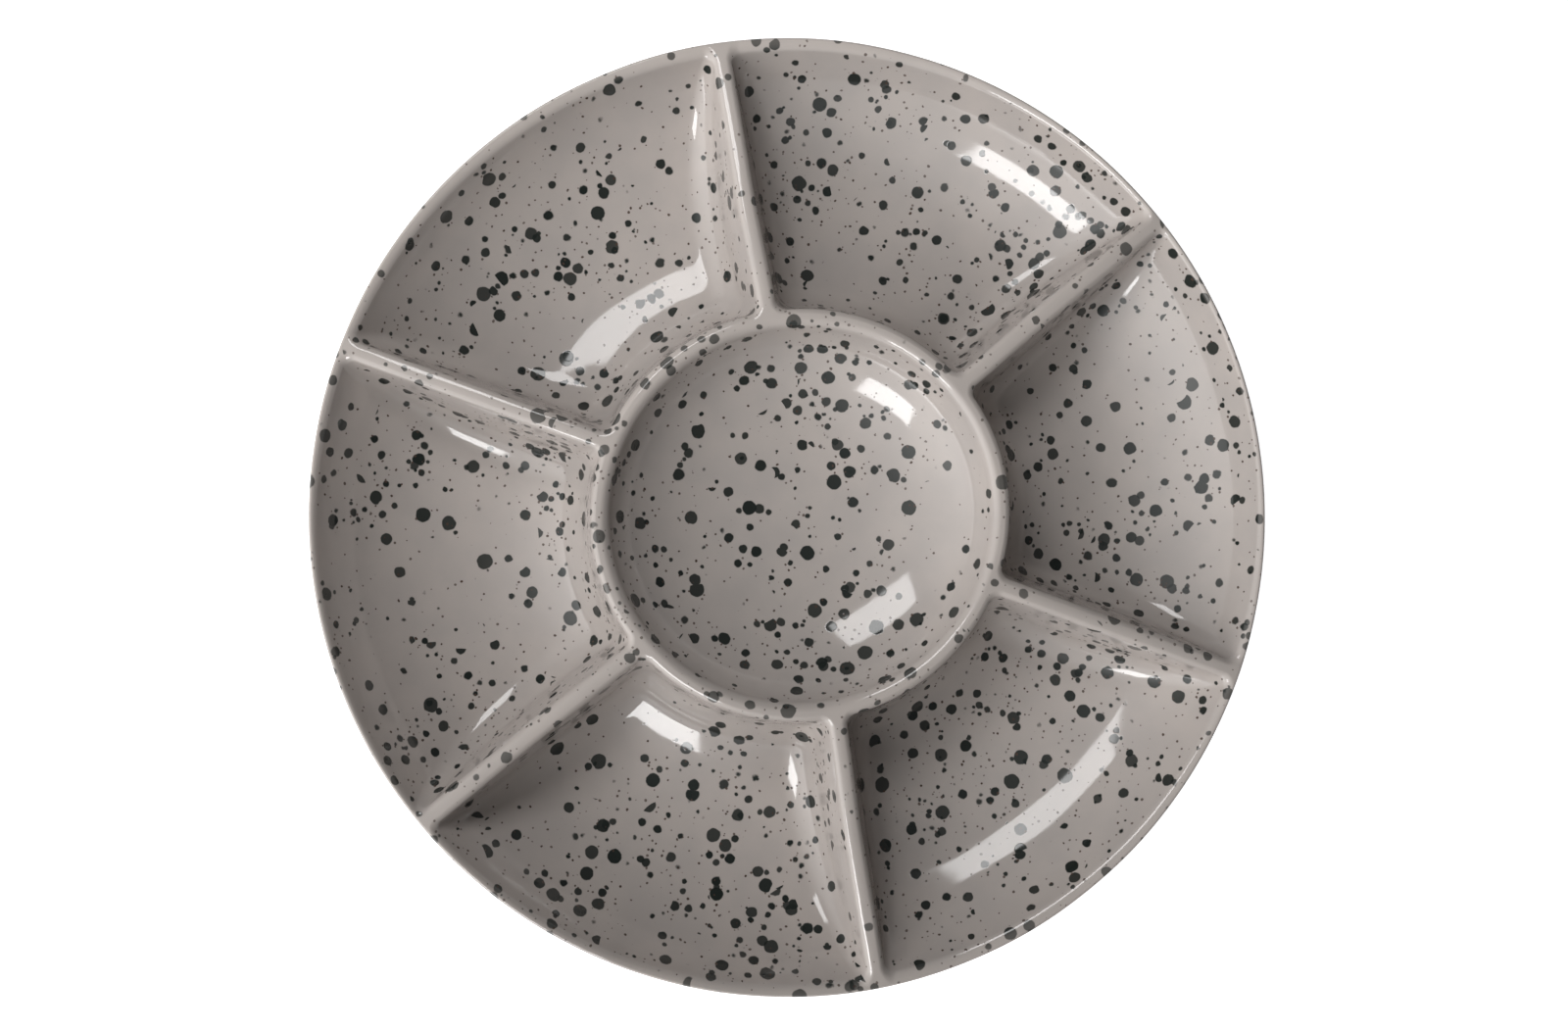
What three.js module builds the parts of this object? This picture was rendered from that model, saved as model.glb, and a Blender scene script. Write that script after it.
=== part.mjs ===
// Round divided serving plate in speckled stoneware: a centre bowl and six compartments.
// Lengths are in millimetres. The plate stands on its foot, +Z up, with its axis on Z.
// One divider lies along +X and the others follow every sixth of a turn.
import * as THREE from 'three';
import { mergeVertices } from 'three/addons/utils/BufferGeometryUtils.js';

// Driving sizes of the whole plate
const plateDiameter = 300;
const compartmentCount = 6;
const compartmentDepth = 31;
const floorThickness = 6;
const footHeight = 3;
const footWidth = 6;
const footEdgeRounding = 1;
const undersideRise = 1.5;

// Rim
const rimWidth = 2.4;
const lipRounding = 0.9;

// Walls that stand on the dish: the ring round the centre bowl and the dividers
const ringDiameter = 124.8;
const ringWidth = 5.4;
const dividerWidth = 5.4;
const crestRounding = 1.8;
const bowlEdgeRounding = 2.8;
const draftAngle = THREE.MathUtils.degToRad(10);
const ringFillet = 8;
const dividerFillet = 9.5;
const cornerFillet = 2.8;
const innerFloorCurve = 50;
const bowlFloorThickness = 6.4;

// The outer wall: its slope at the rim, and where the lowest line of a compartment lies
// between the bowl's foot and the rim
const outerWallAngle = THREE.MathUtils.degToRad(68);
const troughShare = 0.22;

// The centre bowl's curve: the power of its radius, 2 being an ellipse
const bowlCurvePower = 2.3;

// Joints between the pieces: how deep a piece is let in, and the joint's width
const seatDepth = 1.2;
const jointGap = 0.3;
const endLip = 2.5;

// Heights
const troughHeight = footHeight + floorThickness;
const crestHeight = troughHeight + compartmentDepth;
const bowlSeatHeight = troughHeight - seatDepth;
const bowlBaseHeight = bowlSeatHeight + jointGap;
const bowlDepth = crestHeight - bowlBaseHeight - bowlFloorThickness;

// Radii
const rimRadius = plateDiameter / 2;
const rimInnerRadius = rimRadius - rimWidth;
const lipCentreRadius = rimRadius - lipRounding;
const ringOuterRadius = (ringDiameter + ringWidth) / 2;
const ringInnerRadius = (ringDiameter - ringWidth) / 2;
const wallRun = compartmentDepth * Math.tan(draftAngle);
const bowlFootRadius = ringOuterRadius + wallRun + ringFillet;
const troughRadius = THREE.MathUtils.lerp(bowlFootRadius, rimInnerRadius, troughShare);
const footOuterRadius = troughRadius + footWidth / 2;
const footInnerRadius = troughRadius - footWidth / 2;

// The outer wall's inside is part of an ellipse, from the trough up to the rim's inner edge.
// It is level at the trough and has the outer wall's angle at the rim.
const outerReach = rimInnerRadius - troughRadius;
const levelShare = compartmentDepth / (outerReach * Math.tan(outerWallAngle) - compartmentDepth);
const wallSemiWidth = outerReach / Math.sqrt(1 - levelShare ** 2);
const wallSemiHeight = compartmentDepth / (1 - levelShare);

// Its outside is an arc from under the trough that meets the round lip smoothly
const lipReach = lipCentreRadius - troughRadius;
const lipRise = crestHeight - lipRounding - footHeight;
const underCurve = (lipReach ** 2 + lipRise ** 2 - lipRounding ** 2) / (2 * (lipRise - lipRounding));
const underAngle = Math.asin(lipReach / (underCurve - lipRounding));

// Where the level crests begin to round over
const wallAngle = Math.PI / 2 - draftAngle;
const ringFlatEdge = ringOuterRadius - crestRounding * Math.tan(wallAngle / 2);
const rimFlatEdge = rimInnerRadius + crestRounding * Math.tan(outerWallAngle / 2);
const wallTopRadius = rimFlatEdge - crestRounding * Math.sin(outerWallAngle);
const bowlFlatEdge = ringInnerRadius + bowlEdgeRounding;

const sectorAngle = (2 * Math.PI) / compartmentCount;

// Steps of the surfaces: how finely each stretch is divided
const bowlSteps = 6;
const crestSteps = 3;
const filletSteps = 4;
const troughSteps = 2;
const outerWallSteps = 7;
const lipSteps = 4;
const underSteps = 4;
const domeSteps = 2;
const compartmentColumns = 8;
const seatColumns = 4;
const searchSteps = 44;
const mergeTolerance = 1e-3;

// Places down a divider's side, from its crest to its toe
const crestLevelShares = [0.01, 0.15, 0.5, 1];
const filletLevelShares = [1, 0.5, 0.18, 0];
const crestArcShare = 1 - Math.sin(draftAngle);
const crestDropShare = 0.35;
const filletDropShare = 0.5;
const filletRiseShare = 0.84;

const glazeMaterial = () =>
  new THREE.MeshStandardMaterial({ color: 0xa69b95, roughness: 0.12, metalness: 0 });
const bareClayMaterial = () =>
  new THREE.MeshStandardMaterial({ color: 0xc9b294, roughness: 0.85, metalness: 0 });

// Distances are positive in the air and negative in the clay
function filletedUnion(a, b, radius) {
  const nearest = Math.max(radius, Math.min(a, b));
  return nearest - Math.hypot(Math.max(radius - a, 0), Math.max(radius - b, 0));
}

function roundedCorner(a, b, radius) {
  const deepest = Math.min(-radius, Math.max(a, b));
  return deepest + Math.hypot(Math.max(radius + a, 0), Math.max(radius + b, 0));
}

function floorDistance(r, z) {
  const run = r - troughRadius;
  const rise = z - troughHeight;
  if (run < 0) {
    return innerFloorCurve - Math.hypot(run, innerFloorCurve - rise);
  }
  const below = wallSemiHeight - rise;
  const share = Math.hypot(run / wallSemiWidth, below / wallSemiHeight);
  const slope = Math.hypot(run / wallSemiWidth ** 2, below / wallSemiHeight ** 2);
  return (share * (1 - share)) / slope;
}

function draftedWallDistance(run, z) {
  return run * Math.cos(draftAngle) - (crestHeight - z) * Math.sin(draftAngle);
}

// The dish and the ring wall, before the dividers and the round crest
function basinDistance(r, z) {
  const ring = draftedWallDistance(r - ringOuterRadius, z);
  return filletedUnion(floorDistance(r, z), ring, ringFillet);
}

// The fillet beside a divider: tight where the walls meet at the crest, wide on the floor
function dividerFilletAt(z) {
  const depthShare = THREE.MathUtils.clamp((crestHeight - z) / compartmentDepth, 0, 1);
  return THREE.MathUtils.lerp(cornerFillet, dividerFillet, depthShare);
}

// The whole upper surface outside the bowl, at an offset from the nearest divider's centre line
function plateDistance(r, offset, z) {
  const divider = draftedWallDistance(Math.abs(offset) - dividerWidth / 2, z);
  const walls = filletedUnion(basinDistance(r, z), divider, dividerFilletAt(z));
  return roundedCorner(walls, z - crestHeight, crestRounding);
}

function bowlDistance(r, z) {
  const depth = Math.max(crestHeight - z, 0);
  const radial = (r / ringInnerRadius) ** bowlCurvePower;
  const slopeAcross =
    (bowlCurvePower / ringInnerRadius) * (r / ringInnerRadius) ** (bowlCurvePower - 1);
  const slopeDown = (2 * depth) / bowlDepth ** 2;
  const inside = 1 - radial - (depth / bowlDepth) ** 2;
  const bowl = inside / Math.hypot(slopeAcross, slopeDown);
  return roundedCorner(bowl, z - crestHeight, bowlEdgeRounding);
}

// Halves a range until the value changes sign at its middle
function findRoot(low, high, isPast) {
  let [near, far] = [low, high];
  for (let step = 0; step < searchSteps; step += 1) {
    const middle = (near + far) / 2;
    if (isPast(middle)) {
      far = middle;
    } else {
      near = middle;
    }
  }
  return (near + far) / 2;
}

// The upper surface away from the dividers
function openHeight(r) {
  const farOffset = plateDiameter;
  return r < ringFlatEdge
    ? findRoot(bowlBaseHeight, crestHeight, (z) => bowlDistance(r, z) > 0)
    : findRoot(footHeight, crestHeight, (z) => plateDistance(r, farOffset, z) > 0);
}

// The face that a divider is let into, sunk below the basin's surface
function seatHeight(r, sink) {
  const sunk = findRoot(0, crestHeight, (z) => basinDistance(r, z) > -sink);
  return Math.min(sunk, crestHeight - endLip + seatDepth - sink);
}

// Half the width of a divider's foot, out to where its fillet ends
function footHalfWidth(r) {
  const held = THREE.MathUtils.clamp(r, ringFlatEdge, rimFlatEdge);
  const basin = findRoot(0, crestHeight, (z) => basinDistance(held, z) > 0);
  const run = (crestHeight - basin) * Math.tan(draftAngle);
  return dividerWidth / 2 + run + dividerFilletAt(basin) / Math.cos(draftAngle);
}

function undersideHeight(r) {
  if (r > troughRadius) {
    return footHeight + underCurve - Math.sqrt(underCurve ** 2 - (r - troughRadius) ** 2);
  }
  return footHeight + undersideRise * Math.max(0, 1 - (r / footInnerRadius) ** 2);
}

// Even steps from one value to another, without the first
function stepsTo(from, to, count) {
  return Array.from({ length: count }, (_, i) => from + ((to - from) * (i + 1)) / count);
}

// Radii of the bowl's rows, from its middle to the crest
function bowlRows() {
  const steepest = Math.acos(bowlEdgeRounding / bowlDepth);
  const inside = stepsTo(0, steepest, bowlSteps)
    .map((turn) => ringInnerRadius * Math.sin(turn) ** (2 / bowlCurvePower));
  const crest = stepsTo(0, Math.PI / 2, crestSteps)
    .map((turn) => bowlFlatEdge - bowlEdgeRounding * Math.cos(turn));
  return [...inside, ...crest];
}

// Radii from the ring's crest down its outside to the bowl's foot
function ringRows() {
  const crest = stepsTo(0, wallAngle, crestSteps)
    .map((turn) => ringFlatEdge + crestRounding * Math.sin(turn));
  const filletRise = ringFillet * filletRiseShare;
  const filletTop = bowlFootRadius - ringFillet - filletRise * Math.tan(draftAngle);
  const fillet = stepsTo(0, Math.PI / 2, filletSteps)
    .map((turn) => filletTop + (bowlFootRadius - filletTop) * (1 - Math.cos(turn)));
  return [ringFlatEdge, ...crest, filletTop, ...fillet];
}

// Radii from the trough up the outer wall to the level rim
function wallRows() {
  const trough = stepsTo(bowlFootRadius, troughRadius, troughSteps);
  const topTurn = Math.asin((wallTopRadius - troughRadius) / wallSemiWidth);
  const wall = stepsTo(0, topTurn, outerWallSteps)
    .map((turn) => troughRadius + wallSemiWidth * Math.sin(turn));
  const rounding = stepsTo(outerWallAngle, 0, crestSteps)
    .map((turn) => rimFlatEdge - crestRounding * Math.sin(turn));
  return [...trough, ...wall, ...rounding];
}

// Angles of the columns at one radius: over each divider's foot, then across the compartment
function columnAngles(r) {
  const held = Math.max(r, ringFlatEdge);
  const foot = footHalfWidth(held);
  const edge = Math.asin(foot / held);
  const angles = [];
  for (let k = 0; k < compartmentCount; k += 1) {
    const middle = k * sectorAngle;
    const seat = stepsTo(-foot, foot, seatColumns).map((offset) => Math.asin(offset / held));
    angles.push(middle - edge, ...seat.map((turn) => middle + turn));
    const open = stepsTo(edge, sectorAngle - edge, compartmentColumns).slice(0, -1);
    angles.push(...open.map((turn) => middle + turn));
  }
  return angles;
}

const isOverDivider = (column) =>
  column % (seatColumns + compartmentColumns) < seatColumns;

// Gathers triangles, merges their shared corners and drops the ones without area
class Body {
  constructor() {
    this.corners = [];
  }

  face(...points) {
    for (let i = 2; i < points.length; i += 1) {
      this.corners.push(points[0], points[i - 1], points[i]);
    }
  }

  // A strip between two rows of points that run the same way
  strip(near, far) {
    let [i, j] = [0, 0];
    while (i < near.length - 1 || j < far.length - 1) {
      const alongNear = (i + 1) / near.length <= (j + 1) / far.length;
      if (j === far.length - 1 || (i < near.length - 1 && alongNear)) {
        this.face(near[i], near[i + 1], far[j]);
        i += 1;
      } else {
        this.face(near[i], far[j + 1], far[j]);
        j += 1;
      }
    }
  }

  geometry() {
    const raw = new THREE.BufferGeometry();
    const values = new Float32Array(this.corners.flatMap((p) => [p.x, p.y, p.z]));
    raw.setAttribute('position', new THREE.BufferAttribute(values, 3));
    const merged = mergeVertices(raw, mergeTolerance);
    const kept = [];
    for (let i = 0; i < merged.index.count; i += 3) {
      const [a, b, c] = [0, 1, 2].map((n) => merged.index.getX(i + n));
      if (a !== b && b !== c && c !== a) {
        kept.push(a, b, c);
      }
    }
    merged.setIndex(kept);
    merged.computeVertexNormals();
    return merged;
  }
}

function at(r, angle, z) {
  return new THREE.Vector3(r * Math.cos(angle), r * Math.sin(angle), z);
}

// A round body whose top steps down where other pieces are let in.
// rows are radii, zoneOf names the surface of each cell, heights gives each surface by radius,
// and under lists the points of the underside from the last row back towards the axis.
function steppedRound(rows, zoneOf, heights, under) {
  const body = new Body();
  const angles = rows.map(columnAngles);
  const count = angles[0].length;
  const turned = (i, c) => angles[i][c % count];
  const zone = (i, c) => zoneOf(rows[i], rows[i + 1], (c + count) % count);
  const levels = new Map();
  const level = (name, i) => {
    const key = `${name} ${i}`;
    if (!levels.has(key)) {
      levels.set(key, heights[name](rows[i]));
    }
    return levels.get(key);
  };
  const point = (i, c, name) => at(rows[i], turned(i, c), level(name, i));

  // Points down the upright line at one corner, with every surface that meets it on the way
  const upright = (i, c, start, end) => {
    const sign = Math.sign(end - start) || 1;
    const meeting = new Set([start, end]);
    for (const row of [i - 1, i]) {
      if (row >= 0 && row < rows.length - 1) {
        meeting.add(level(zone(row, c - 1), i)).add(level(zone(row, c), i));
      }
    }
    return [...meeting]
      .filter((z) => (z - start) * sign >= 0 && (end - z) * sign >= 0)
      .sort((p, q) => (p - q) * sign)
      .map((z) => at(rows[i], turned(i, c), z));
  };
  const step = (i, c, from, to) => upright(i, c, level(from, i), level(to, i));

  const last = rows.length - 1;
  for (let c = 0; c < count; c += 1) {
    for (let i = 0; i < last; i += 1) {
      const here = zone(i, c);
      const corners = [[i, c], [i + 1, c], [i + 1, c + 1], [i, c + 1]];
      body.face(...corners.map(([row, column]) => point(row, column, here)));
      const before = zone(i, c - 1);
      if (before !== here) {
        body.strip(step(i + 1, c, before, here), step(i, c, before, here));
      }
      const inner = i > 0 ? zone(i - 1, c) : here;
      if (inner !== here) {
        body.strip(step(i, c, inner, here), step(i, c + 1, inner, here));
      }
    }
    const centre = at(0, 0, level(zone(0, c), 0));
    body.face(centre, point(0, c, zone(0, c)), point(0, c + 1, zone(0, c)));

    const place = (n, column) => at(under[n].r, turned(last, column), under[n].z);
    if (under[0].r === rows[last]) {
      const edge = level(zone(last - 1, c), last);
      const side = (column) => upright(last, column, edge, under[0].z);
      body.strip(side(c), side(c + 1));
    } else {
      const rim = zone(last - 1, c);
      body.face(point(last, c, rim), place(0, c), place(0, c + 1), point(last, c + 1, rim));
    }
    for (let n = 0; n < under.length - 1; n += 1) {
      body.face(place(n, c), place(n + 1, c), place(n + 1, c + 1), place(n, c + 1));
    }
  }
  return body.geometry();
}

// The wide dish: floor, outer wall and rim, with shallow seats for what stands on and under it
function dishGeometry() {
  const bowlSeatRadius = bowlFootRadius + jointGap;
  const rows = [bowlFootRadius, bowlSeatRadius, ...wallRows(), lipCentreRadius];
  const zoneOf = (inner, outer, column) => {
    if (outer <= bowlSeatRadius) {
      return 'bowlSeat';
    }
    return isOverDivider(column) && outer <= rimFlatEdge ? 'dividerSeat' : 'open';
  };
  const heights = {
    open: openHeight,
    dividerSeat: (r) => seatHeight(r, seatDepth),
    bowlSeat: () => bowlSeatHeight,
  };

  const lip = stepsTo(Math.PI / 2, underAngle - Math.PI / 2, lipSteps).map((turn) => ({
    r: lipCentreRadius + lipRounding * Math.cos(turn),
    z: crestHeight - lipRounding + lipRounding * Math.sin(turn),
  }));
  const grooveOuter = footOuterRadius + jointGap;
  const grooveInner = footInnerRadius - jointGap;
  const grooveTop = footHeight + seatDepth;
  const grooveAngle = Math.asin((grooveOuter - troughRadius) / underCurve);
  const outside = stepsTo(underAngle, grooveAngle, underSteps)
    .map((turn) => troughRadius + underCurve * Math.sin(turn));
  const inside = [grooveInner, ...stepsTo(grooveInner, 0, domeSteps)];
  const under = [
    ...lip,
    ...outside.map((r) => ({ r, z: undersideHeight(r) })),
    { r: grooveOuter, z: grooveTop },
    { r: grooveInner, z: grooveTop },
    ...inside.map((r) => ({ r, z: undersideHeight(r) })),
  ];
  return steppedRound(rows, zoneOf, heights, under);
}

// The centre bowl with its round wall, standing in the dish's middle
function centreBowlGeometry() {
  const rows = [...bowlRows(), ...ringRows()];
  const zoneOf = (inner, outer, column) =>
    isOverDivider(column) && inner >= ringFlatEdge ? 'dividerSeat' : 'open';
  const heights = {
    open: openHeight,
    dividerSeat: (r) => seatHeight(r, seatDepth),
  };
  const under = [
    { r: bowlFootRadius, z: bowlBaseHeight },
    { r: 0, z: bowlBaseHeight },
  ];
  return steppedRound(rows, zoneOf, heights, under);
}

// Points down one side of a divider at one radius, from the crest's edge to the toe
function dividerSide(r, toe) {
  const reach = (z) => findRoot(0, toe, (offset) => plateDistance(r, offset, z) > 0);
  const toeHeight = findRoot(footHeight, crestHeight, (z) => plateDistance(r, toe, z) > 0);
  const drop = crestHeight - toeHeight;
  const crestDrop = Math.min(crestRounding * crestArcShare, drop * crestDropShare);
  const filletRise = Math.min(dividerFilletAt(toeHeight) * filletRiseShare, drop * filletDropShare);
  const upper = crestLevelShares.map((share) => crestHeight - crestDrop * share);
  const lower = filletLevelShares.map((share) => toeHeight + filletRise * share);
  return [...upper, ...lower].map((z, i, all) => ({
    offset: i === all.length - 1 ? toe : reach(z),
    z: i === 0 ? crestHeight : z,
  }));
}

// One divider along +X: its upper surface, its underside on the seat, and its edges between
function dividerGeometry() {
  const [start, end] = [ringFlatEdge + jointGap, rimFlatEdge - jointGap];
  const between = [...ringRows(), ...wallRows()].filter((r) => r > start && r < end);
  const rows = [start, ...between, end];
  const tops = [];
  const bottoms = [];
  for (const r of rows) {
    const toe = footHalfWidth(r) - jointGap;
    const side = dividerSide(r, toe);
    const place = (offset, z) => at(r, Math.asin(offset / r), z);
    const left = side.map(({ offset, z }) => place(offset, z));
    const right = side.map(({ offset, z }) => place(-offset, z)).reverse();
    tops.push([...right, place(0, crestHeight), ...left]);
    const low = seatHeight(r, seatDepth - jointGap);
    bottoms.push([-toe, ...stepsTo(-toe, toe, seatColumns)].map((offset) => place(offset, low)));
  }

  const body = new Body();
  for (let i = 0; i < rows.length - 1; i += 1) {
    for (let j = 0; j < tops[i].length - 1; j += 1) {
      body.face(tops[i][j], tops[i + 1][j], tops[i + 1][j + 1], tops[i][j + 1]);
    }
    for (let j = 0; j < bottoms[i].length - 1; j += 1) {
      body.face(bottoms[i][j], bottoms[i][j + 1], bottoms[i + 1][j + 1], bottoms[i + 1][j]);
    }
    body.face(tops[i][0], bottoms[i][0], bottoms[i + 1][0], tops[i + 1][0]);
    const [top, nextTop] = [tops[i].at(-1), tops[i + 1].at(-1)];
    const [low, nextLow] = [bottoms[i].at(-1), bottoms[i + 1].at(-1)];
    body.face(top, nextTop, nextLow, low);
  }
  body.strip(tops[0], bottoms[0]);
  body.strip(bottoms.at(-1), tops.at(-1));
  return body.geometry();
}

// The bare clay foot that the plate stands on, let into the dish's underside
function footRingGeometry() {
  const top = footHeight + seatDepth - jointGap;
  const profile = [
    [footInnerRadius + footEdgeRounding, 0],
    [footOuterRadius - footEdgeRounding, 0],
    [footOuterRadius, footEdgeRounding],
    [footOuterRadius, top],
    [footInnerRadius, top],
    [footInnerRadius, footEdgeRounding],
    [footInnerRadius + footEdgeRounding, 0],
  ].map(([r, z]) => new THREE.Vector2(r, z));
  const segments = compartmentCount * (seatColumns + compartmentColumns);
  const ring = new THREE.LatheGeometry(profile, segments);
  ring.deleteAttribute('normal');
  ring.deleteAttribute('uv');
  const merged = mergeVertices(ring, mergeTolerance);
  merged.rotateX(Math.PI / 2);
  return merged;
}

function piece(name, geometry, material) {
  const mesh = new THREE.Mesh(geometry, material);
  mesh.name = name;
  return mesh;
}

const plate = new THREE.Group();
plate.add(piece('dish', dishGeometry(), glazeMaterial()));
plate.add(piece('centre_bowl', centreBowlGeometry(), glazeMaterial()));
for (let k = 0; k < compartmentCount; k += 1) {
  const divider = piece(`divider_${k + 1}`, dividerGeometry(), glazeMaterial());
  divider.rotation.z = k * sectorAngle;
  plate.add(divider);
}
plate.add(piece('foot_ring', footRingGeometry(), bareClayMaterial()));

export default plate;
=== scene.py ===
"""A round divided serving plate in glossy speckled stoneware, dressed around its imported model."""

import math

import bpy
import numpy as np
from mathutils import Matrix, Vector


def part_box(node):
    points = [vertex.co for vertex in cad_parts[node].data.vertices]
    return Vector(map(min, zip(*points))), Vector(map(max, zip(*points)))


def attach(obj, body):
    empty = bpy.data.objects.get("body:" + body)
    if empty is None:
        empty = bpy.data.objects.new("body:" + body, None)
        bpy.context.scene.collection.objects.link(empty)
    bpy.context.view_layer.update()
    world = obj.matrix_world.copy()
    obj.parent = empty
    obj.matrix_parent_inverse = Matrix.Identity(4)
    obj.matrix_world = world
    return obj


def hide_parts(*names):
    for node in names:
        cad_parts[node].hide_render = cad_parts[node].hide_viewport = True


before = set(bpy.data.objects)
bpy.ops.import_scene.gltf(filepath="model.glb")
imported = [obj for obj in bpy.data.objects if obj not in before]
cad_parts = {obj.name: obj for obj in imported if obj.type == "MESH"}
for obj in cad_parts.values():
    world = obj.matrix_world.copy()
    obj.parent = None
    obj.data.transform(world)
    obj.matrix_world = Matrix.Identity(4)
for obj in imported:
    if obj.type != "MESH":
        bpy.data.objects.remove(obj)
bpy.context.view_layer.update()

MM = 0.001

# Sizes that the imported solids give
dish_low, dish_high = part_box("dish")
bowl_low, bowl_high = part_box("centre_bowl")
foot_low, foot_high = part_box("foot_ring")
RIM_RADIUS = dish_high.x
CREST_HEIGHT = dish_high.z
BOWL_FOOT_RADIUS = bowl_high.x
BOWL_BASE_HEIGHT = bowl_low.z
FOOT_HEIGHT = dish_low.z
FOOT_OUTER_RADIUS = foot_high.x
FOOT_TOP = foot_high.z

# Sizes of the walls, as the solids have them
COMPARTMENT_COUNT = 6
COMPARTMENT_DEPTH = 31 * MM
RIM_WIDTH = 2.4 * MM
LIP_ROUNDING = 0.9 * MM
RING_DIAMETER = 124.8 * MM
RING_WIDTH = 5.4 * MM
DIVIDER_WIDTH = 5.4 * MM
CREST_ROUNDING = 1.8 * MM
BOWL_EDGE_ROUNDING = 2.8 * MM
DRAFT_ANGLE = math.radians(10)
OUTER_WALL_ANGLE = math.radians(68)
RING_FILLET = 8 * MM
DIVIDER_FILLET = 9.5 * MM
CORNER_FILLET = 2.8 * MM
INNER_FLOOR_CURVE = 50 * MM
BOWL_FLOOR_THICKNESS = 6.4 * MM
BOWL_CURVE_POWER = 2.3
TROUGH_SHARE = 0.22
FOOT_WIDTH = 6 * MM
UNDERSIDE_RISE = 1.5 * MM
FOOT_EDGE_ROUNDING = 1 * MM

# Heights and radii that follow from them
TROUGH_HEIGHT = CREST_HEIGHT - COMPARTMENT_DEPTH
BOWL_DEPTH = CREST_HEIGHT - BOWL_BASE_HEIGHT - BOWL_FLOOR_THICKNESS
RIM_INNER_RADIUS = RIM_RADIUS - RIM_WIDTH
LIP_CENTRE_RADIUS = RIM_RADIUS - LIP_ROUNDING
RING_OUTER_RADIUS = (RING_DIAMETER + RING_WIDTH) / 2
RING_INNER_RADIUS = (RING_DIAMETER - RING_WIDTH) / 2
TROUGH_RADIUS = BOWL_FOOT_RADIUS + (RIM_INNER_RADIUS - BOWL_FOOT_RADIUS) * TROUGH_SHARE
FOOT_INNER_RADIUS = FOOT_OUTER_RADIUS - FOOT_WIDTH
OUTER_REACH = RIM_INNER_RADIUS - TROUGH_RADIUS
LEVEL_SHARE = COMPARTMENT_DEPTH / (OUTER_REACH * math.tan(OUTER_WALL_ANGLE) - COMPARTMENT_DEPTH)
WALL_SEMI_WIDTH = OUTER_REACH / math.sqrt(1 - LEVEL_SHARE ** 2)
WALL_SEMI_HEIGHT = COMPARTMENT_DEPTH / (1 - LEVEL_SHARE)
LIP_REACH = LIP_CENTRE_RADIUS - TROUGH_RADIUS
LIP_RISE = CREST_HEIGHT - LIP_ROUNDING - FOOT_HEIGHT
UNDER_CURVE = (LIP_REACH ** 2 + LIP_RISE ** 2 - LIP_ROUNDING ** 2) / (2 * (LIP_RISE - LIP_ROUNDING))
UNDER_ANGLE = math.asin(LIP_REACH / (UNDER_CURVE - LIP_ROUNDING))
WALL_ANGLE = math.pi / 2 - DRAFT_ANGLE
RING_FLAT_EDGE = RING_OUTER_RADIUS - CREST_ROUNDING * math.tan(WALL_ANGLE / 2)
RIM_FLAT_EDGE = RIM_INNER_RADIUS + CREST_ROUNDING * math.tan(OUTER_WALL_ANGLE / 2)
SECTOR_ANGLE = 2 * math.pi / COMPARTMENT_COUNT

# The foot: a fillet under the body, and the rolled edge where its glaze ends
FOOT_FILLET = 1.2 * MM
GLAZE_LINE = 1.3 * MM
GLAZE_BEAD = 0.35 * MM
GLAZE_DRIFT = 0.25 * MM
CLAY_INSET = 0.18 * MM

# Unevenness of a body that is shaped and glazed by hand
SAG_HEIGHT = 0.4 * MM
SAG_LENGTH = 42 * MM
SAG_MEAN = 0.16 * MM
SAG_SEED = 1
GLAZE_LINE_SEED = 2
WAVE_COUNT = 14
WAVE_LENGTH_RANGE = (0.6, 1.6)
OVAL_STRETCH = 0.85 * MM
OVAL_TURN = math.radians(40.5)
OVAL_START = 20 * MM
OVAL_FULL = 60 * MM
BOWL_SHIFT = (1.0 * MM, 0.1 * MM)
DIVIDER_DRIFTS = np.radians((0.7, -0.4, 0.15, 0.6, -0.15, 0.0))
SHIFT_FULL = 66 * MM
SHIFT_END = 105 * MM

# How finely the pieces are divided
BASIN_ROWS = 230
SIDE_COLUMNS = 26
OPEN_COLUMNS = 48
LIP_ROWS = 14
UNDER_ROWS = 34
FOOT_ROWS = 5
DOME_ROWS = 12
FOOT_COLUMNS = 360
PROFILE_SAMPLES = 6000
SIDE_SAMPLES = 700
SEARCH_STEPS = 42
TURN_LENGTH = 6 * MM

# The photograph's view: image axes, from the plate's middle at crest height
PICTURE_WIDTH = 1600
FOCAL_PIXELS = 1445
PICTURE_TURN = math.radians(20.47)
CAMERA_PLACE = Vector((-39.6, -11.75, 440)) * MM
CAMERA_AIM = Vector((-4.95, -0.8, 0)) * MM
SENSOR_WIDTH = 36
NEAREST_SEEN = 10 * MM

# Soft light from the studio: azimuth, zenith and reach in degrees, and radiance
SOFT_LIGHTS = ((200, 66, 60, 0.76), (235, 66, 55, 0.86), (210, 80, 40, 0.5), (190, 40, 50, 0.42))
SOFT_LIGHT_CORE = 15
AMBIENT = 0.01

# What only the camera and mirrors see: the horizon, a low bright strip, and a white floor.
# The ends, foot and top are sines of the angle above the horizon. Azimuth, reach and core are
# in degrees.
HORIZON = 1.0
OVERHEAD = 0.1
HORIZON_ENDS = (0.08, 0.16)
STRIP_AZIMUTH = 233
STRIP_REACH = 24
STRIP_CORE = 14.07
STRIP_FOOT = (0.0, 0.05)
STRIP_TOP = (0.14, 0.19)
STRIP_RADIANCE = 3.0
FLOOR_WHITE = 0.88

# Lamps: azimuth and zenith in degrees, distance, width and height in metres, radiance,
# whether they light what is matt, and whether they mirror
LAMPS = {
    "upper_left_lamp": (120, 37.5, 0.4, 0.16, 0.134, 7.6, True, True),
    "lower_left_lamp": (239, 49, 0.4, 0.14, 0.12, 12.0, False, True),
    "key_lamp": (150, 50, 0.4, 0.25, 0.2, 1.0, True, False),
    "low_left_lamp": (225, 70, 0.45, 0.3, 0.2, 1.95, True, False),
}

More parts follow.
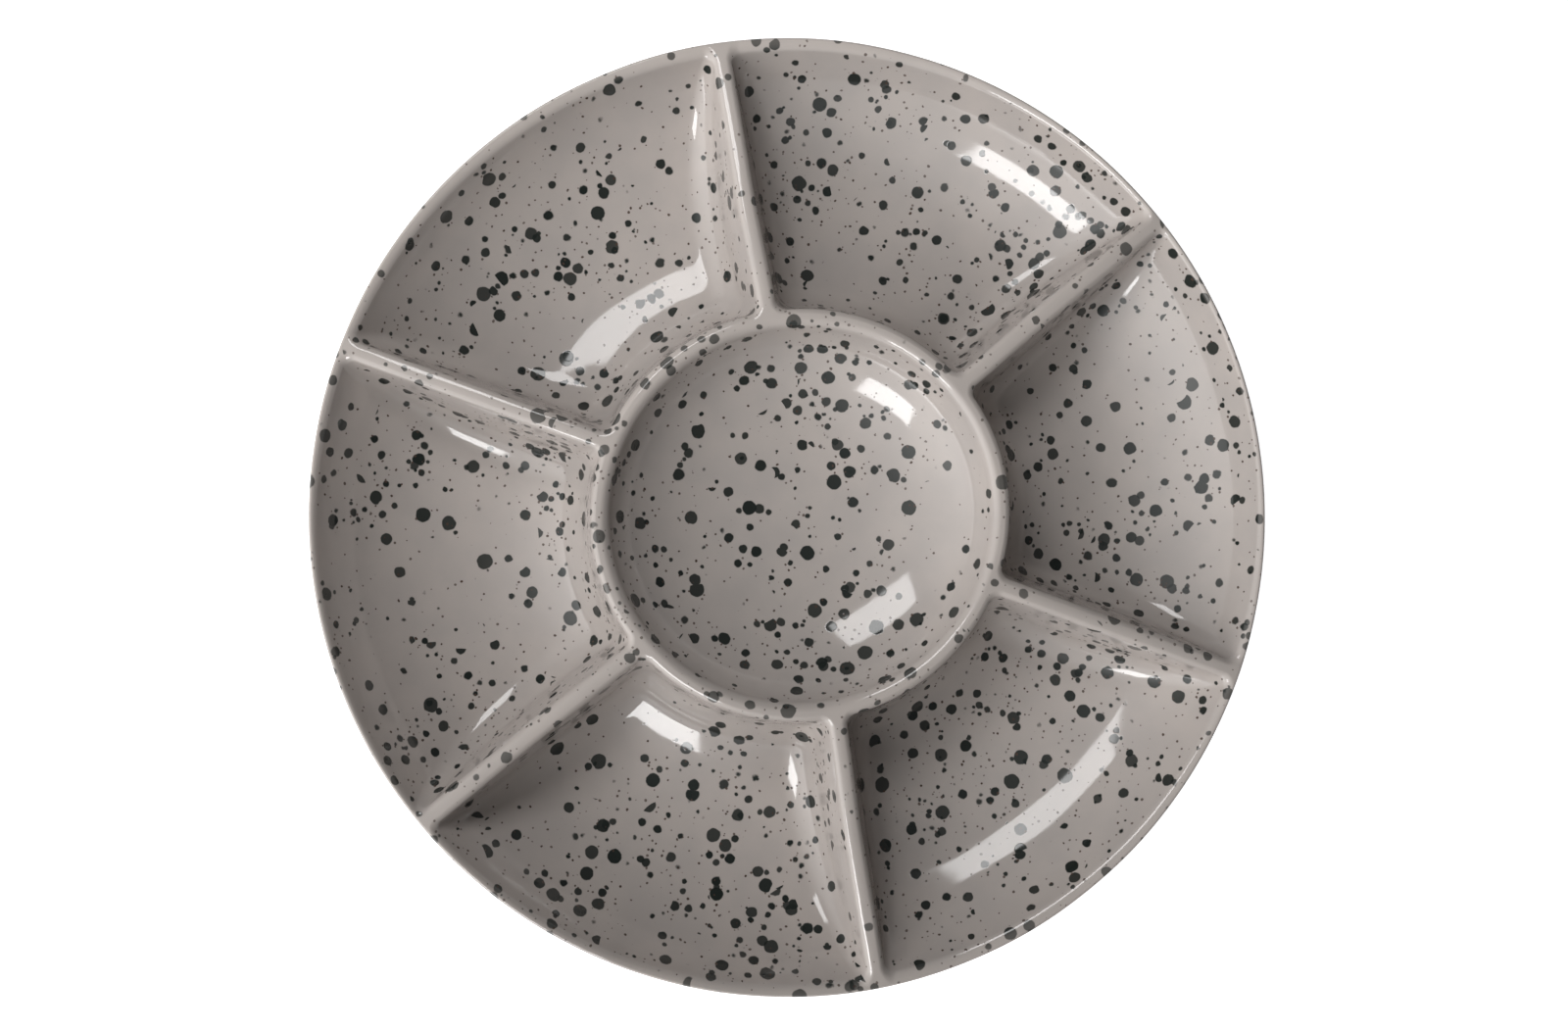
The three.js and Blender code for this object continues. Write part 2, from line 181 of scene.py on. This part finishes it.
# The floor
FLOOR_HALF = 12.0
FLOOR_GREY = (0.75, 0.75, 0.75, 1)
FLOOR_ROUGHNESS = 0.9

# Glaze speckles, largest first: smallest and largest radius, and how many the surface would cut
# in a square centimetre if they all had the largest radius
SPECKLES = (
    (1.8 * MM, 2.6 * MM, 0.48),
    (1.3 * MM, 1.9 * MM, 0.66),
    (0.8 * MM, 1.3 * MM, 0.66),
    (0.5 * MM, 0.8 * MM, 0.78),
    (0.22 * MM, 0.5 * MM, 5.0),
)
SQUARE_CENTIMETRE = 1e-4
LARGEST_IN_CELL = 0.32
SPECKLE_GREEN = (0.012, 0.017, 0.015)
SPECKLE_BROWN = (0.07, 0.045, 0.035)
SPECKLE_EDGE = 0.35 * MM
TINY_EDGE = 0.16 * MM
SPECKLE_COVER = 0.92
TINY_COVER = 0.75
SPECKLE_RELIEF = 0.006 * MM
SPECKLE_WARP = 0.9 * MM
WARP_SIZE = 2.6 * MM
CROWD_SIZE = 34 * MM
CROWD_NOISE = (0.25, 0.75)
CROWD_RANGE = (0.35, 1.65)

# The glaze: its grey varies in patches. Just below the crests' height it gets thinner and pinker.
GLAZE_DARKER = (0.44, 0.401, 0.378)
GLAZE_PALER = (0.478, 0.432, 0.403)
PATCH_SIZE = 16 * MM
CREST_BEIGE = (0.51, 0.46, 0.425)
CREST_SHARE = 0.45
CREST_FADE = 0.2
THIN_START = 1.8 * MM
THIN_FULL = 0.3 * MM
GLOSS_SIZE = 11 * MM
GLOSS_RANGE = (0.055, 0.085)
GLAZE_IOR = 1.52

# The glaze's relief: level ridges round what is steep, and a peel all over
STEEP_RANGE = (0.8, 0.5)
RIDGE_SIZE = 1.5 * MM
RIDGE_STRETCH = 26
RIDGE_RELIEF = 0.03 * MM
PEEL_SIZE = 8 * MM
PEEL_RELIEF = 0.03 * MM

# Bare clay. Its iron spots have their radii and number as the speckles do.
CLAY_BUFF = (0.58, 0.46, 0.32)
CLAY_TAN = (0.5, 0.385, 0.26)
CLAY_DARK = (0.4, 0.29, 0.19)
CLOUD_SIZE = 12 * MM
RUBBED_HEIGHT = 0.5 * MM
SCUFF_SIZE = 3 * MM
SCUFF_NOISE = (0.45, 0.7)
IRON_SPOT = (0.16, 0.09, 0.05)
IRON_SPOTS = (0.15 * MM, 0.45 * MM, 2.0)
IRON_EDGE = 0.12 * MM
SAND_SIZE = 0.5 * MM
SAND_RELIEF = 0.08 * MM
CLAY_ROUGHNESS = (0.8, 0.95)

# Noise lies mostly between these
NOISE_RANGE = (0.3, 0.7)


def fillet_union(a, b, radius):
    nearest = np.maximum(radius, np.minimum(a, b))
    return nearest - np.hypot(np.maximum(radius - a, 0), np.maximum(radius - b, 0))


def rounded_corner(a, b, radius):
    deepest = np.minimum(-radius, np.maximum(a, b))
    return deepest + np.hypot(np.maximum(radius + a, 0), np.maximum(radius + b, 0))


def wall_distance(run, z):
    return run * math.cos(DRAFT_ANGLE) - (CREST_HEIGHT - z) * math.sin(DRAFT_ANGLE)


def floor_distance(r, z):
    """Positive over the trough's floor: an arc on the inner side, an ellipse out to the rim."""
    run = r - TROUGH_RADIUS
    rise = z - TROUGH_HEIGHT
    inner = INNER_FLOOR_CURVE - np.hypot(run, INNER_FLOOR_CURVE - rise)
    below = WALL_SEMI_HEIGHT - rise
    share = np.hypot(run / WALL_SEMI_WIDTH, below / WALL_SEMI_HEIGHT)
    slope = np.hypot(run / WALL_SEMI_WIDTH ** 2, below / WALL_SEMI_HEIGHT ** 2)
    return np.where(run < 0, inner, share * (1 - share) / slope)


def divider_fillet_at(z):
    """Tight where a divider's crest meets the other walls, wide along its foot."""
    deep = np.clip((CREST_HEIGHT - z) / COMPARTMENT_DEPTH, 0, 1)
    return CORNER_FILLET + (DIVIDER_FILLET - CORNER_FILLET) * deep


def plate_distance(r, offset, z):
    """Positive in the air over the compartments, negative in the clay."""
    basin = fillet_union(floor_distance(r, z), wall_distance(r - RING_OUTER_RADIUS, z), RING_FILLET)
    divider = wall_distance(np.abs(offset) - DIVIDER_WIDTH / 2, z)
    walls = fillet_union(basin, divider, divider_fillet_at(z))
    return rounded_corner(walls, z - CREST_HEIGHT, CREST_ROUNDING)


def bowl_distance(r, z):
    """Positive in the air over the centre bowl."""
    depth = np.maximum(CREST_HEIGHT - z, 0)
    share = r / RING_INNER_RADIUS
    across = BOWL_CURVE_POWER / RING_INNER_RADIUS * share ** (BOWL_CURVE_POWER - 1)
    down = 2 * depth / BOWL_DEPTH ** 2
    inside = 1 - share ** BOWL_CURVE_POWER - (depth / BOWL_DEPTH) ** 2
    slope = np.maximum(np.hypot(across, down), 1 / RIM_RADIUS)
    return rounded_corner(inside / slope, z - CREST_HEIGHT, BOWL_EDGE_ROUNDING)


def upper_height(r, offset):
    """The height of the upper surface at a radius and an offset from the nearest divider."""
    r, offset = np.broadcast_arrays(np.asarray(r, float), np.asarray(offset, float))
    low = np.full(r.shape, FOOT_HEIGHT)
    high = np.full(r.shape, CREST_HEIGHT)
    in_bowl = r < RING_FLAT_EDGE
    for _ in range(SEARCH_STEPS):
        middle = (low + high) / 2
        distance = np.where(in_bowl, bowl_distance(r, middle), plate_distance(r, offset, middle))
        high = np.where(distance > 0, middle, high)
        low = np.where(distance > 0, low, middle)
    return (low + high) / 2


def spread_points(across, heights, count):
    """count + 1 places along a profile, closer together where it turns."""
    length = np.hypot(np.diff(across), np.diff(heights))
    direction = np.arctan2(np.diff(heights), np.diff(across))
    turn = np.abs(np.diff(direction, prepend=direction[0]))
    travelled = np.concatenate([[0], np.cumsum(length + TURN_LENGTH * turn)])
    return np.interp(np.linspace(0, travelled[-1], count + 1), travelled, across)


def foot_half_width(r):
    """Half the width of a divider's foot, out to where its fillet ends."""
    basin = upper_height(r, RIM_RADIUS)
    run = (CREST_HEIGHT - basin) * math.tan(DRAFT_ANGLE)
    return DIVIDER_WIDTH / 2 + run + divider_fillet_at(basin) / math.cos(DRAFT_ANGLE)


def upper_rows():
    """Radii of the skin's rows from near the axis to the rim's level top."""
    dense = np.linspace(0, LIP_CENTRE_RADIUS, PROFILE_SAMPLES)
    radii = spread_points(dense, upper_height(dense, RIM_RADIUS), BASIN_ROWS)
    return radii[1:]


def side_turns(r):
    """Angles of the columns on one side of a divider, from its middle to its toe."""
    held = min(max(r, RING_FLAT_EDGE), RIM_FLAT_EDGE)
    dense = np.linspace(0, foot_half_width(held), SIDE_SAMPLES)
    offsets = spread_points(dense, upper_height(held, dense), SIDE_COLUMNS)
    return np.arcsin(offsets / held)


def upper_row(r):
    """Angles and heights of the skin's columns at one radius."""
    turns = side_turns(r)
    toe = turns[-1]
    between = np.linspace(toe, SECTOR_ANGLE - toe, OPEN_COLUMNS + 1)[1:-1]
    turns = np.concatenate([-turns[:0:-1], turns, between])
    over_foot = upper_height(r, r * np.sin(turns[:2 * SIDE_COLUMNS + 1]))
    clear = float(upper_height(r, RIM_RADIUS))
    heights = np.concatenate([over_foot, np.full(OPEN_COLUMNS - 1, clear)])
    sectors = np.arange(COMPARTMENT_COUNT)[:, None] * SECTOR_ANGLE
    return (sectors + turns).ravel(), np.tile(heights, COMPARTMENT_COUNT)


def wall_underside(r):
    reach = np.maximum(r - TROUGH_RADIUS, 0)
    return FOOT_HEIGHT + UNDER_CURVE - np.sqrt(UNDER_CURVE ** 2 - reach ** 2)


def dome_underside(r):
    return FOOT_HEIGHT + UNDERSIDE_RISE * np.maximum(0, 1 - (r / FOOT_INNER_RADIUS) ** 2)


def foot_side(edge, away, top):
    """Down one side of the foot to the glaze's rolled edge; away is the sign that leaves the foot."""
    turns = np.linspace(0, math.pi / 2, FOOT_ROWS + 1)
    radii = np.concatenate([edge + away * FOOT_FILLET * (1 - np.sin(turns)),
                            edge - away * GLAZE_BEAD * (1 - np.cos(turns))])
    heights = np.concatenate([top - FOOT_FILLET * (1 - np.cos(turns)),
                              GLAZE_LINE + GLAZE_BEAD * (1 - np.sin(turns))])
    return radii, heights


def under_profile():
    """Radii and heights from the lip round the outside to the middle of the underside."""
    lip = np.linspace(math.pi / 2, UNDER_ANGLE - math.pi / 2, LIP_ROWS + 1)[1:]
    wall_end = FOOT_OUTER_RADIUS + FOOT_FILLET
    last_turn = math.asin((wall_end - TROUGH_RADIUS) / UNDER_CURVE)
    wall_r = TROUGH_RADIUS + UNDER_CURVE * np.sin(np.linspace(UNDER_ANGLE, last_turn, UNDER_ROWS + 1)[1:-1])
    dome_start = FOOT_INNER_RADIUS - FOOT_FILLET
    dome_r = np.linspace(dome_start, 0, DOME_ROWS + 1)[1:-1]
    outer_r, outer_z = foot_side(FOOT_OUTER_RADIUS, 1, wall_underside(wall_end))
    inner_r, inner_z = foot_side(FOOT_INNER_RADIUS, -1, dome_underside(dome_start))
    radii = [LIP_CENTRE_RADIUS + LIP_ROUNDING * np.cos(lip), wall_r, outer_r, inner_r[::-1], dome_r]
    heights = [CREST_HEIGHT - LIP_ROUNDING + LIP_ROUNDING * np.sin(lip), wall_underside(wall_r),
               outer_z, inner_z[::-1], dome_underside(dome_r)]
    return np.concatenate(radii), np.concatenate(heights)


def waves(x, y, length, seed):
    """A smooth uneven field, mostly between -0.5 and 0.5."""
    random = np.random.default_rng(seed)
    total = np.zeros(np.shape(x))
    for _ in range(WAVE_COUNT):
        turn = random.uniform(0, 2 * math.pi)
        reach = length * random.uniform(*WAVE_LENGTH_RANGE)
        along = x * math.cos(turn) + y * math.sin(turn)
        total += np.sin(2 * math.pi * (along / reach + random.uniform()))
    return total / WAVE_COUNT


def eased(value, start, end):
    """Runs smoothly from 0 to 1 while the value goes from start to end."""
    share = min(max((value - start) / (end - start), 0), 1)
    return share ** 2 * (3 - 2 * share)


def drifted(angles):
    """The dividers stand a little off their even spacing, and what is between them follows."""
    turns = angles / SECTOR_ANGLE
    before = np.floor(turns).astype(int)
    share = turns - before
    weight = share ** 2 * (3 - 2 * share)
    here = DIVIDER_DRIFTS[before % COMPARTMENT_COUNT]
    after = DIVIDER_DRIFTS[(before + 1) % COMPARTMENT_COUNT]
    return angles + here * (1 - weight) + after * weight


def uneven_places(r, angles):
    """The walls stand on a slight oval and the bowl a little off the middle, in a round lip."""
    angles = drifted(angles)
    oval = eased(r, OVAL_START, OVAL_FULL) * eased(r, LIP_CENTRE_RADIUS, RIM_INNER_RADIUS - LIP_ROUNDING)
    reach = r + OVAL_STRETCH * oval * np.cos(2 * (angles - OVAL_TURN))
    shift = eased(r, SHIFT_END, SHIFT_FULL)
    return reach * np.cos(angles) + shift * BOWL_SHIFT[0], reach * np.sin(angles) + shift * BOWL_SHIFT[1]


def glazed_skin():
    """The whole glazed body as one closed mesh of rows and columns."""
    points = []
    for r in upper_rows():
        angles, heights = upper_row(r)
        points.append(np.column_stack([*uneven_places(r, angles), heights]))
    across, along = np.cos(angles), np.sin(angles)
    drift = GLAZE_DRIFT * waves(across * FOOT_OUTER_RADIUS, along * FOOT_OUTER_RADIUS,
                                SAG_LENGTH, GLAZE_LINE_SEED)
    for r, z in zip(*under_profile()):
        share = min(max((FOOT_HEIGHT - z) / (FOOT_HEIGHT - GLAZE_LINE), 0), 1)
        points.append(np.column_stack([r * across, r * along, z + share * drift]))
    top = [*BOWL_SHIFT, float(upper_height(0, RIM_RADIUS))]
    bottom = [0, 0, float(dome_underside(0))]
    vertices = np.vstack([*points, top, bottom])
    sag = SAG_HEIGHT * waves(vertices[:, 0], vertices[:, 1], SAG_LENGTH, SAG_SEED) - SAG_MEAN
    vertices[:, 2] = np.minimum(vertices[:, 2] + sag, CREST_HEIGHT)

    columns = len(angles)
    here = np.arange(columns)
    beside = (here + 1) % columns
    starts = np.arange(len(points) - 1)[:, None] * columns
    quads = np.stack([starts + here, starts + columns + here,
                      starts + columns + beside, starts + beside], axis=-1).reshape(-1, 4)
    last = (len(points) - 1) * columns
    caps = np.vstack([
        np.column_stack([np.full(columns, len(vertices) - 2), here, beside]),
        np.column_stack([np.full(columns, len(vertices) - 1), last + beside, last + here]),
    ])
    return vertices, [*quads.tolist(), *caps.tolist()]


def clay_ring():
    """The bare clay foot: a ring with rounded lower edges that reaches up into the body."""
    inner = FOOT_INNER_RADIUS + CLAY_INSET
    outer = FOOT_OUTER_RADIUS - CLAY_INSET
    turns = np.linspace(0, math.pi / 2, FOOT_ROWS + 1)
    curve_r = FOOT_EDGE_ROUNDING * (1 - np.cos(turns))
    curve_z = FOOT_EDGE_ROUNDING * (1 - np.sin(turns))
    radii = np.concatenate([[outer], outer - curve_r, (inner + curve_r)[::-1], [inner]])
    heights = np.concatenate([[FOOT_TOP], curve_z, curve_z[::-1], [FOOT_TOP]])
    angles = np.arange(FOOT_COLUMNS) * 2 * math.pi / FOOT_COLUMNS
    vertices = np.stack([np.outer(radii, np.cos(angles)), np.outer(radii, np.sin(angles)),
                         np.repeat(heights[:, None], FOOT_COLUMNS, axis=1)], axis=-1).reshape(-1, 3)
    rows = np.arange(len(radii))[:, None]
    here = np.arange(FOOT_COLUMNS)
    beside = (here + 1) % FOOT_COLUMNS
    below = (rows + 1) % len(radii)
    quads = np.stack([rows * FOOT_COLUMNS + here, below * FOOT_COLUMNS + here,
                      below * FOOT_COLUMNS + beside, rows * FOOT_COLUMNS + beside], axis=-1)
    return vertices, quads.reshape(-1, 4).tolist()


def mesh_object(name, vertices, faces, material):
    mesh = bpy.data.meshes.new(name)
    mesh.from_pydata(vertices.tolist(), [], faces)
    mesh.shade_smooth()
    mesh.materials.append(material)
    piece = bpy.data.objects.new(name, mesh)
    bpy.context.scene.collection.objects.link(piece)
    return piece


class Shading:
    """The nodes of a material or of the world, added and joined by short calls."""

    def __init__(self, owner):
        owner.use_nodes = True
        self.owner = owner
        self.tree = owner.node_tree
        self.shader = self.tree.nodes.get("Principled BSDF")

    def feed(self, socket, value):
        if isinstance(value, bpy.types.NodeSocket):
            self.tree.links.new(value, socket)
        else:
            socket.default_value = value

    def node(self, kind, inputs, **settings):
        node = self.tree.nodes.new("ShaderNode" + kind)
        for name, value in settings.items():
            setattr(node, name, value)
        for name, value in inputs.items():
            self.feed(node.inputs[name], value)
        return node

    def math(self, operation, *values):
        return self.node("Math", dict(enumerate(values)), operation=operation).outputs[0]

    def vector(self, operation, *values):
        return self.node("VectorMath", dict(enumerate(values)), operation=operation).outputs[0]

    def scaled(self, vector, factor):
        return self.node("VectorMath", {0: vector, "Scale": factor}, operation="SCALE").outputs[0]

    def spread(self, value, low, high, to_low=0.0, to_high=1.0):
        """Runs smoothly from to_low to to_high while the value goes from low to high."""
        inputs = {"Value": value, "From Min": low, "From Max": high, "To Min": to_low, "To Max": to_high}
        return self.node("MapRange", inputs, interpolation_type="SMOOTHSTEP").outputs[0]

    def mix(self, share, first, second):
        colours = [(*c, 1) if isinstance(c, tuple) else c for c in (first, second)]
        inputs = {0: share, 6: colours[0], 7: colours[1]}
        return self.node("Mix", inputs, data_type="RGBA").outputs[2]

    def noise(self, place, size, detail=2.0):
        return self.node("TexNoise", {"Vector": place, "Scale": 1 / size, "Detail": detail})

    def place(self):
        return self.node("TexCoord", {}).outputs["Object"]

    def bump(self, height):
        """Height is in metres."""
        normal = self.node("Bump", {"Strength": 1.0, "Distance": 1.0, "Height": height}).outputs[0]
        self.feed(self.shader.inputs["Normal"], normal)


def speckle_layer(shading, place, crowding, smallest, largest, density, edge):
    """Round drops of one size class: their cover at each point, and a random shade for each drop."""
    cell = largest / LARGEST_IN_CELL
    cuts_per_cell = 2 * LARGEST_IN_CELL
    share = density / SQUARE_CENTIMETRE * cell ** 2 / cuts_per_cell
    cells = shading.node("TexVoronoi", {"Vector": place, "Scale": 1 / cell})
    random = shading.node("SeparateColor", {0: cells.outputs["Color"]}).outputs
    present = shading.math("LESS_THAN", random[0], shading.math("MULTIPLY", crowding, share))
    radius = shading.math("MULTIPLY_ADD", random[1], largest - smallest, smallest)
    away = shading.math("MULTIPLY", cells.outputs["Distance"], cell)
    depth = shading.math("SUBTRACT", radius, away)
    cover = shading.spread(depth, -edge / 2, edge / 2)
    return shading.math("MULTIPLY", cover, present), random[2]


def glaze_material():
    """Glossy warm grey glaze with dark green speckles, thinner and pinker along the crests."""
    shading = Shading(bpy.data.materials.new("speckled_glaze"))
    place = shading.place()
    wobble = shading.vector("SUBTRACT", shading.noise(place, WARP_SIZE).outputs["Color"], (0.5, 0.5, 0.5))
    warped = shading.vector("ADD", place, shading.scaled(wobble, SPECKLE_WARP))
    crowd_noise = shading.noise(place, CROWD_SIZE, 1.0).outputs["Fac"]
    crowd = shading.spread(crowd_noise, *CROWD_NOISE, *CROWD_RANGE)
    height = shading.node("SeparateXYZ", {0: place}).outputs[2]
    thin = shading.spread(height, CREST_HEIGHT - THIN_START, CREST_HEIGHT - THIN_FULL)

    patches = shading.noise(place, PATCH_SIZE, 4.0).outputs["Fac"]
    grey = shading.mix(shading.spread(patches, *NOISE_RANGE), GLAZE_DARKER, GLAZE_PALER)
    colour = shading.mix(shading.math("MULTIPLY", thin, CREST_SHARE), grey, CREST_BEIGE)
    relief = 0
    for index, (smallest, largest, density) in enumerate(SPECKLES):
        tiny = index == len(SPECKLES) - 1
        edge = TINY_EDGE if tiny else SPECKLE_EDGE
        palest = TINY_COVER if tiny else SPECKLE_COVER
        dark = SPECKLE_BROWN if tiny else SPECKLE_GREEN
        cover, shade = speckle_layer(shading, warped, crowd, smallest, largest, density, edge)
        strength = shading.math("MULTIPLY_ADD", shade, 1 - palest, palest)
        faded = shading.math("MULTIPLY_ADD", thin, -CREST_FADE, 1.0)
        share = shading.math("MULTIPLY", shading.math("MULTIPLY", cover, strength), faded)
        colour = shading.mix(share, colour, dark)
        relief = shading.math("ADD", shading.math("MULTIPLY", cover, SPECKLE_RELIEF), relief)
    shading.feed(shading.shader.inputs["Base Color"], colour)

    normal = shading.node("NewGeometry", {}).outputs["Normal"]
    upright = shading.math("ABSOLUTE", shading.node("SeparateXYZ", {0: normal}).outputs[2])
    steep = shading.spread(upright, *STEEP_RANGE)
    stretched = shading.vector("MULTIPLY", place, (1 / RIDGE_STRETCH, 1 / RIDGE_STRETCH, 1))
    ridges = shading.noise(stretched, RIDGE_SIZE, 1.0).outputs["Fac"]
    ridge_relief = shading.math("MULTIPLY", shading.math("MULTIPLY", ridges, steep), RIDGE_RELIEF)
    peel = shading.math("MULTIPLY", shading.noise(place, PEEL_SIZE, 1.0).outputs["Fac"], PEEL_RELIEF)
    shading.bump(shading.math("ADD", relief, shading.math("ADD", ridge_relief, peel)))

    gloss = shading.spread(shading.noise(place, GLOSS_SIZE).outputs["Fac"], *NOISE_RANGE, *GLOSS_RANGE)
    shading.feed(shading.shader.inputs["Roughness"], gloss)
    shading.shader.inputs["IOR"].default_value = GLAZE_IOR
    return shading.owner


def clay_material():
    """Bare fired clay: matt and sandy, with iron spots, darker where it has rubbed on tables."""
    shading = Shading(bpy.data.materials.new("bare_clay"))
    place = shading.place()
    clouds = shading.noise(place, CLOUD_SIZE, 4.0).outputs["Fac"]
    colour = shading.mix(shading.spread(clouds, *NOISE_RANGE), CLAY_BUFF, CLAY_TAN)
    height = shading.node("SeparateXYZ", {0: place}).outputs[2]
    rubbed = shading.spread(height, RUBBED_HEIGHT, 0.0)
    scuffs = shading.spread(shading.noise(place, SCUFF_SIZE, 3.0).outputs["Fac"], *SCUFF_NOISE)
    colour = shading.mix(shading.math("MULTIPLY", rubbed, scuffs), colour, CLAY_DARK)
    spots, _ = speckle_layer(shading, place, 1.0, *IRON_SPOTS, IRON_EDGE)
    colour = shading.mix(spots, colour, IRON_SPOT)
    shading.feed(shading.shader.inputs["Base Color"], colour)
    sand = shading.noise(place, SAND_SIZE, 3.0).outputs["Fac"]
    shading.bump(shading.math("MULTIPLY", sand, SAND_RELIEF))
    shading.feed(shading.shader.inputs["Roughness"], shading.spread(sand, *NOISE_RANGE, *CLAY_ROUGHNESS))
    return shading.owner


def seen_ray(shading):
    """1 for rays from the camera and mirrors, 0 for rays that only carry light."""
    path = shading.node("LightPath", {}).outputs
    mirrored = shading.math("MAXIMUM", path["Is Glossy Ray"], path["Is Transmission Ray"])
    return shading.math("MAXIMUM", path["Is Camera Ray"], mirrored)


def floor_material():
    """A pale floor that the camera and mirrors see as white, still with the object's shadow."""
    shading = Shading(bpy.data.materials.new("floor"))
    shading.shader.inputs["Roughness"].default_value = FLOOR_ROUGHNESS
    shading.shader.inputs["Base Color"].default_value = FLOOR_GREY
    shading.shader.inputs["Emission Color"].default_value = (1, 1, 1, 1)
    shown = shading.math("MULTIPLY", seen_ray(shading), FLOOR_WHITE)
    shading.feed(shading.shader.inputs["Emission Strength"], shown)
    return shading.owner


def make_camera():
    data = bpy.data.cameras.new("camera")
    data.sensor_width = SENSOR_WIDTH
    data.lens = FOCAL_PIXELS * SENSOR_WIDTH / PICTURE_WIDTH
    data.clip_start = NEAREST_SEEN
    camera = bpy.data.objects.new("camera", data)
    bpy.context.scene.collection.objects.link(camera)
    turn = Matrix.Rotation(PICTURE_TURN, 3, "Z")
    crest = Vector((0, 0, CREST_HEIGHT))
    place = crest + turn @ CAMERA_PLACE
    aim = crest + turn @ CAMERA_AIM
    forward = (aim - place).normalized()
    right = forward.cross(turn @ Vector((0, 1, 0))).normalized()
    up = right.cross(forward)
    camera.matrix_world = Matrix.Translation(place) @ Matrix((right, up, -forward)).transposed().to_4x4()
    bpy.context.scene.camera = camera


def make_lamp(name, azimuth, zenith, distance, width, height, radiance, lights, mirrors):
    """A rectangular lamp that faces the plate; azimuth is in the picture's axes, in degrees."""
    data = bpy.data.lights.new(name, "AREA")
    data.shape = "RECTANGLE"
    data.size = width
    data.size_y = height
    data.energy = radiance * math.pi * width * height
    lamp = bpy.data.objects.new(name, data)
    bpy.context.scene.collection.objects.link(lamp)
    direction = sky_direction(azimuth, zenith)
    lamp.location = Vector((0, 0, CREST_HEIGHT)) + direction * distance
    lamp.rotation_euler = direction.to_track_quat("Z", "Y").to_euler()
    lamp.visible_diffuse = lights
    lamp.visible_glossy = mirrors


def sky_direction(azimuth, zenith):
    """A unit vector; azimuth is in the picture's axes, both are in degrees."""
    turn = math.radians(azimuth) + PICTURE_TURN
    tilt = math.radians(zenith)
    return Vector((math.sin(tilt) * math.cos(turn), math.sin(tilt) * math.sin(turn), math.cos(tilt)))


def near_direction(shading, direction, azimuth, zenith, reach, core, radiance):
    """Full radiance within core degrees of a place in the sky, and none from reach degrees on."""
    middle = tuple(sky_direction(azimuth, zenith))
    near = shading.node("VectorMath", {0: direction, 1: middle}, operation="DOT_PRODUCT")
    outer, inner = math.cos(math.radians(reach)), math.cos(math.radians(core))
    return shading.spread(near.outputs["Value"], outer, inner, 0.0, radiance)


def make_world():
    """Soft light from the left, and a horizon and a strip that only the camera and mirrors see."""
    world = bpy.data.worlds.new("studio")
    shading = Shading(world)
    direction = shading.node("TexCoord", {}).outputs["Generated"]
    light = AMBIENT
    for azimuth, zenith, reach, radiance in SOFT_LIGHTS:
        glow = near_direction(shading, direction, azimuth, zenith, reach, SOFT_LIGHT_CORE, radiance)
        light = shading.math("ADD", glow, light)
    rise = shading.node("SeparateXYZ", {0: direction}).outputs[2]
    horizon = shading.spread(rise, *HORIZON_ENDS, HORIZON, OVERHEAD)
    beside = near_direction(shading, direction, STRIP_AZIMUTH, 90, STRIP_REACH, STRIP_CORE, 1.0)
    below_top = shading.spread(rise, *reversed(STRIP_TOP))
    low = shading.math("MULTIPLY", below_top, shading.spread(rise, *STRIP_FOOT))
    strip = shading.math("MULTIPLY", shading.math("MULTIPLY", beside, low), STRIP_RADIANCE)
    mirrored = shading.math("MULTIPLY", seen_ray(shading), shading.math("ADD", horizon, strip))
    light = shading.math("ADD", light, mirrored)
    shading.feed(shading.tree.nodes["Background"].inputs["Color"], light)
    bpy.context.scene.world = world


def make_floor():
    half = FLOOR_HALF
    corners = [(-half, -half, 0), (half, -half, 0), (half, half, 0), (-half, half, 0)]
    floor = mesh_object("floor", np.array(corners), [(0, 1, 2, 3)], floor_material())


bpy.context.scene.view_settings.view_transform = "Standard"
make_camera()
make_world()
make_floor()
for name, settings in LAMPS.items():
    make_lamp(name, *settings)

body = mesh_object("glazed_body", *glazed_skin(), glaze_material())
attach(body, "root")
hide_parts("dish", "centre_bowl", *[f"divider_{k + 1}" for k in range(COMPARTMENT_COUNT)])

foot = mesh_object("clay_foot", *clay_ring(), clay_material())
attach(foot, "root")
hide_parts("foot_ring")
